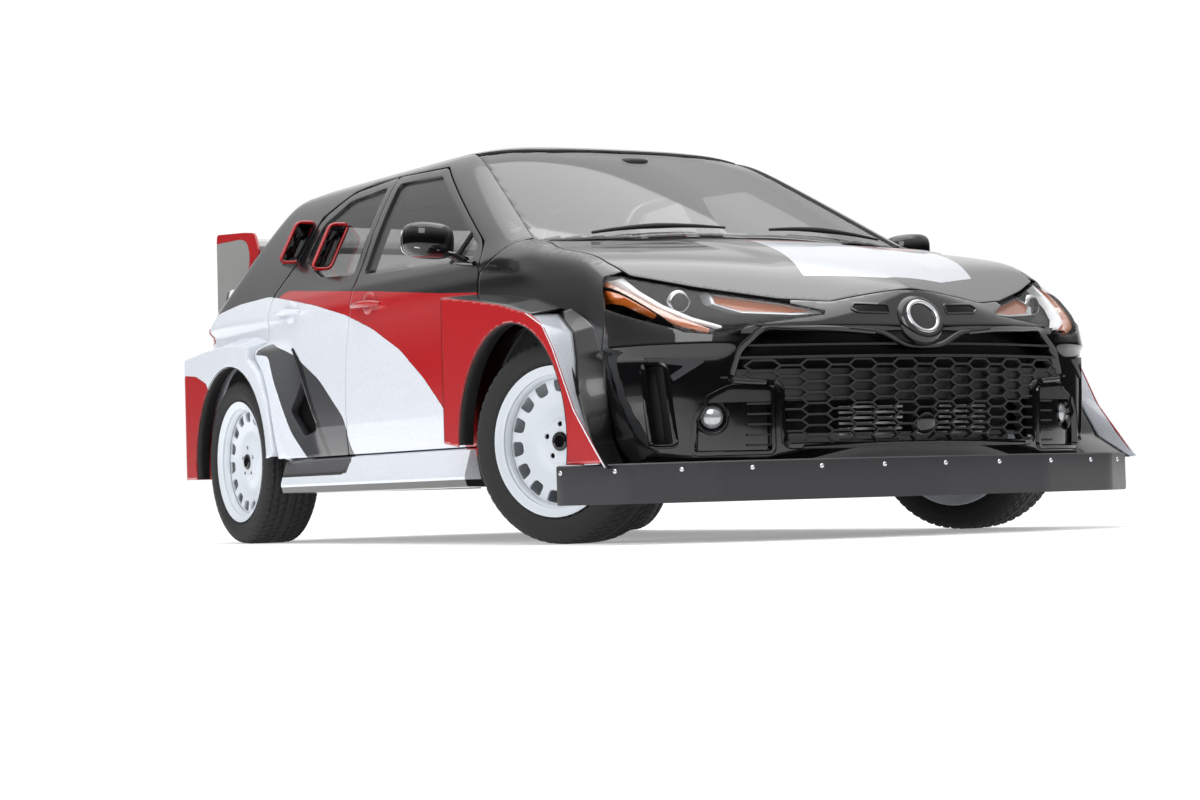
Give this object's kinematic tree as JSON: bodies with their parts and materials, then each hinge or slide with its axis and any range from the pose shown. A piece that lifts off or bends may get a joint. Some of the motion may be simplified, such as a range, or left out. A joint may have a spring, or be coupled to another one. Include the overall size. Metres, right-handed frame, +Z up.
{
  "type": "rally car",
  "caption": "Five-door rally hatchback with wide arch flares, steerable front wheels, opening doors, hood and tailgate, rear wing and air dam.",
  "frame": {"origin": "on the floor, below the middle of the overall box", "axes": "+Y to the car's rear, +Z up, +X to the car's left; the front wheels stand steered to the left at rest"},
  "size_m": [2.2, 4.4, 1.4901],
  "materials": {
    "paint_dark": "gloss two-layer paint",
    "gloss_black": "gloss",
    "tinted_glass": "tinted",
    "lamp_lens": "clear lens",
    "dark_plastic": "matte",
    "seat_fabric": "woven",
    "chassis_steel": "satin black coat",
    "cast_aluminium": "cast",
    "exhaust_steel": "brushed",
    "wheel_white": "gloss white",
    "tyre": "rubber"
  },
  "bodies": {
    "shell": {"floor_pan": "chassis_steel", "body_side_left": "paint_dark", "body_side_right": "paint_dark", "roof_panel": "paint_dark", "windscreen": "tinted_glass", "cowl_panel": "gloss_black", "quarter_glass": "tinted_glass", "front_fenders": "paint_dark", "front_bumper": "gloss_black", "headlamps": "lamp_lens", "grille": "dark_plastic", "air_dam": "dark_plastic", "rear_bumper": "gloss_black", "front_flares": "paint_dark", "rear_flares": "paint_dark", "side_skirts": "paint_dark", "tail_lamps": "lamp_lens", "front_suspension": "chassis_steel", "rear_suspension": "chassis_steel", "dashboard": "dark_plastic", "front_seats": "seat_fabric", "rear_seat": "seat_fabric", "engine_block": "cast_aluminium", "radiator": "cast_aluminium", "exhaust": "exhaust_steel", "fog_lamps": "lamp_lens", "quarter_scoops": "gloss_black", "wheel_liners": "dark_plastic"},
    "hood": {"hood": "paint_dark"},
    "tailgate": {"tailgate": "paint_dark", "tailgate_glass": "tinted_glass", "rear_wing": "gloss_black"},
    "door_front_left": {"door_front_left": "paint_dark", "glass_front_left": "tinted_glass", "mirror_left": "gloss_black"},
    "door_rear_left": {"door_rear_left": "paint_dark", "glass_rear_left": "tinted_glass", "scoop_door_left": "gloss_black"},
    "door_front_right": {"door_front_right": "paint_dark", "glass_front_right": "tinted_glass", "mirror_right": "gloss_black"},
    "door_rear_right": {"door_rear_right": "paint_dark", "glass_rear_right": "tinted_glass", "scoop_door_right": "gloss_black"},
    "knuckle_left": {"knuckle_left": "cast_aluminium"},
    "knuckle_right": {"knuckle_right": "cast_aluminium"},
    "wheel_front_left": {"wheel_front_left": "wheel_white", "tyre_front_left": "tyre"},
    "wheel_front_right": {"wheel_front_right": "wheel_white", "tyre_front_right": "tyre"},
    "wheel_rear_left": {"wheel_rear_left": "wheel_white", "tyre_rear_left": "tyre"},
    "wheel_rear_right": {"wheel_rear_right": "wheel_white", "tyre_rear_right": "tyre"}
  },
  "joints": [
    {"name": "door_front_left_hinge", "type": "hinge", "parent": "shell", "child": "door_front_left", "pos_m": [0.914, -0.73, 0.6], "axis": [0, 0, -1], "range_deg": [0, 65]},
    {"name": "door_rear_left_hinge", "type": "hinge", "parent": "shell", "child": "door_rear_left", "pos_m": [0.914, 0.36, 0.6], "axis": [0, 0, -1], "range_deg": [0, 65]},
    {"name": "door_front_right_hinge", "type": "hinge", "parent": "shell", "child": "door_front_right", "pos_m": [-0.914, -0.73, 0.6], "axis": [0, 0, 1], "range_deg": [0, 65]},
    {"name": "door_rear_right_hinge", "type": "hinge", "parent": "shell", "child": "door_rear_right", "pos_m": [-0.914, 0.36, 0.6], "axis": [0, 0, 1], "range_deg": [0, 65]},
    {"name": "hood_hinge", "type": "hinge", "parent": "shell", "child": "hood", "pos_m": [0, -0.994, 1.042], "axis": [-1, 0, 0], "range_deg": [0, 50]},
    {"name": "tailgate_hinge", "type": "hinge", "parent": "shell", "child": "tailgate", "pos_m": [0, 1.486, 1.414], "axis": [1, 0, 0], "range_deg": [0, 75]},
    {"name": "steering_left", "type": "hinge", "parent": "shell", "child": "knuckle_left", "pos_m": [0.74, -1.24, 0.334], "axis": [0, 0, 1], "range_deg": [-57, 9]},
    {"name": "steering_right", "type": "hinge", "parent": "shell", "child": "knuckle_right", "pos_m": [-0.74, -1.24, 0.334], "axis": [0, 0, 1], "range_deg": [-57, 9]},
    {"name": "wheel_front_left_spin", "type": "hinge", "parent": "knuckle_left", "child": "wheel_front_left", "pos_m": [0.81491, -1.20665, 0.334], "axis": [0.9135, 0.4067, 0], "continuous": true},
    {"name": "wheel_front_right_spin", "type": "hinge", "parent": "knuckle_right", "child": "wheel_front_right", "pos_m": [-0.81491, -1.27335, 0.334], "axis": [0.9135, 0.4067, 0], "continuous": true},
    {"name": "wheel_rear_left_spin", "type": "hinge", "parent": "shell", "child": "wheel_rear_left", "pos_m": [0.822, 1.4, 0.334], "axis": [1, 0, 0], "continuous": true},
    {"name": "wheel_rear_right_spin", "type": "hinge", "parent": "shell", "child": "wheel_rear_right", "pos_m": [-0.822, 1.4, 0.334], "axis": [1, 0, 0], "continuous": true}
  ],
  "couplings": [
    {"joint": "steering_right", "follows": "steering_left", "ratio": 1}
  ]
}
